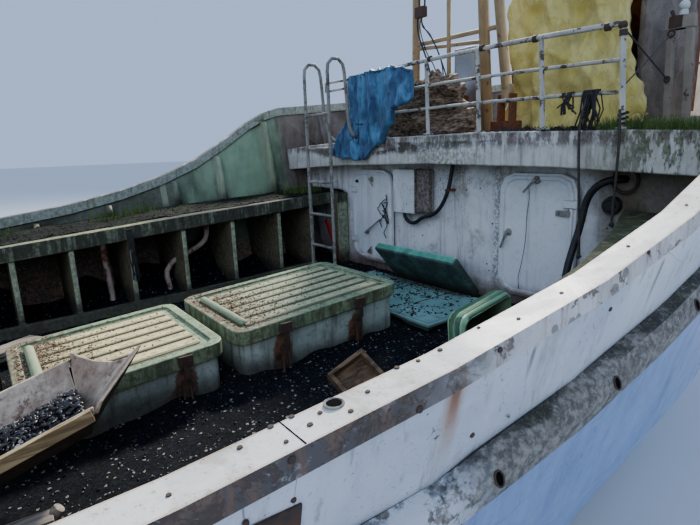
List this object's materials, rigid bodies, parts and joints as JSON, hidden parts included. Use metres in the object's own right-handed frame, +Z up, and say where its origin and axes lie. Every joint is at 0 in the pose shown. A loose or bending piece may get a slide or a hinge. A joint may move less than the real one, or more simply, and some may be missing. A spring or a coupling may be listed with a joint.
{
  "type": "fishing trawler",
  "caption": "Small inshore fishing trawler with a well deck, fish hold hatches, raised forecastle with watertight doors, wheelhouse aft and stern gantry.",
  "frame": {"origin": "on the centreline amidships at the waterline", "axes": "+X towards the bow, +Y to port, +Z up"},
  "size_m": [14.625, 4.592, 6.4129],
  "materials": {
    "hull_gelcoat": "chalky",
    "white_paint": "weathered, cracked and rust streaked",
    "cap_paint": "worn, rusty inner edge",
    "strake": "worn, mossy top",
    "green_gelcoat": "faded, mossy",
    "lid_gelcoat": "faded, dirty",
    "turquoise": "faded",
    "chute_gelcoat": "stained",
    "old_wood": "grey, rotten edges",
    "pipe": "flaking white over rust",
    "mast_paint": "tan, flaking",
    "rusty_gear": "rusted",
    "yellow_tarp": "wrinkled, faded",
    "brown_canvas": "dirty, stiff",
    "blue_tarp": "crumpled, torn",
    "net": "matted",
    "rope": "dirty, tarred",
    "black_rubber": "dull",
    "house_paint": "weathered",
    "glass": "dusty",
    "winch_paint": "worn green over rust",
    "engine_paint": "oily",
    "bronze": "tarnished",
    "antifouling": "matt"
  },
  "bodies": {
    "boat": {"hull": "hull_gelcoat", "bulwark": "white_paint", "gunwale_cap": "cap_paint", "rub_strake": "strake", "side_shelf": "green_gelcoat", "starboard_ledge": "green_gelcoat", "bay_pipe_1": "pipe", "bay_pipe_2": "pipe", "forecastle_bulkhead": "white_paint", "forecastle_deck": "white_paint", "hatch_coaming_1": "green_gelcoat", "hatch_coaming_2": "green_gelcoat", "low_hatch": "green_gelcoat", "loose_lid": "turquoise", "green_block": "turquoise", "wooden_tray": "old_wood", "sorting_chute": "chute_gelcoat", "ladder": "pipe", "forecastle_rail": "pipe", "gantry": "mast_paint", "boom_bracket": "rusty_gear", "net_hauler": "rusty_gear", "twin_bitts": "pipe", "capstan": "rusty_gear", "hauler_tarp": "yellow_tarp", "side_tarp": "brown_canvas", "rail_tarp": "blue_tarp", "net_heap": "net", "gear_box": "house_paint", "junction_box": "white_paint", "hang_line_1": "rope", "hang_line_2": "rope", "deck_hose": "black_rubber", "deck_cable": "black_rubber", "wheelhouse": "house_paint", "wheelhouse_roof": "house_paint", "glass_front": "glass", "glass_port": "glass", "glass_starboard": "glass", "glass_aft": "glass", "wheelhouse_sole": "old_wood", "helm_console": "old_wood", "engine": "engine_paint", "exhaust": "rusty_gear", "roof_mast": "pipe", "winch_frame": "winch_paint", "stern_gantry": "mast_paint", "anchor": "rusty_gear"},
    "door_port": {"forecastle_door_port": "white_paint"},
    "door_starboard": {"forecastle_door_starboard": "white_paint"},
    "lid_1": {"hatch_lid_1": "lid_gelcoat"},
    "lid_2": {"hatch_lid_2": "lid_gelcoat"},
    "derrick": {"boom": "mast_paint"},
    "house_door": {"wheelhouse_door": "house_paint"},
    "warp_drum": {"winch_drum": "rusty_gear"},
    "screw": {"propeller": "bronze"},
    "steering": {"rudder": "antifouling"}
  },
  "joints": [
    {"name": "door_port_swing", "type": "hinge", "parent": "boat", "child": "door_port", "pos_m": [3.262, 1.225, 1.35], "axis": [0, 0, -1], "range_deg": [0, 58]},
    {"name": "door_starboard_swing", "type": "hinge", "parent": "boat", "child": "door_starboard", "pos_m": [3.262, -1.13, 1.35], "axis": [0, 0, 1], "range_deg": [0, 90]},
    {"name": "lid_1_lift", "type": "hinge", "parent": "boat", "child": "lid_1", "pos_m": [0.7, 0.42, 0.9426], "axis": [-0.998, 0, -0.0639], "range_deg": [0, 100]},
    {"name": "lid_2_lift", "type": "hinge", "parent": "boat", "child": "lid_2", "pos_m": [1.795, 0.44, 1.0127], "axis": [-0.998, 0, -0.0639], "range_deg": [0, 100]},
    {"name": "boom_luff", "type": "hinge", "parent": "boat", "child": "derrick", "pos_m": [3.76, -0.205, 2.33], "axis": [0, -1, 0], "range_deg": [0, 55]},
    {"name": "house_door_swing", "type": "hinge", "parent": "boat", "child": "house_door", "pos_m": [-5.345, 0.83, 1.7], "axis": [0, 0, -1], "range_deg": [0, 110]},
    {"name": "warp_drum_spin", "type": "hinge", "parent": "boat", "child": "warp_drum", "pos_m": [-1.9, 0, 1.25], "axis": [0, 1, 0], "continuous": true},
    {"name": "propeller_spin", "type": "hinge", "parent": "boat", "child": "screw", "pos_m": [-5.98, 0, -0.56], "axis": [1, 0, 0], "continuous": true},
    {"name": "rudder_turn", "type": "hinge", "parent": "boat", "child": "steering", "pos_m": [-6.76, 0, -0.2], "axis": [0, 0, 1], "range_deg": [-35, 35]}
  ]
}
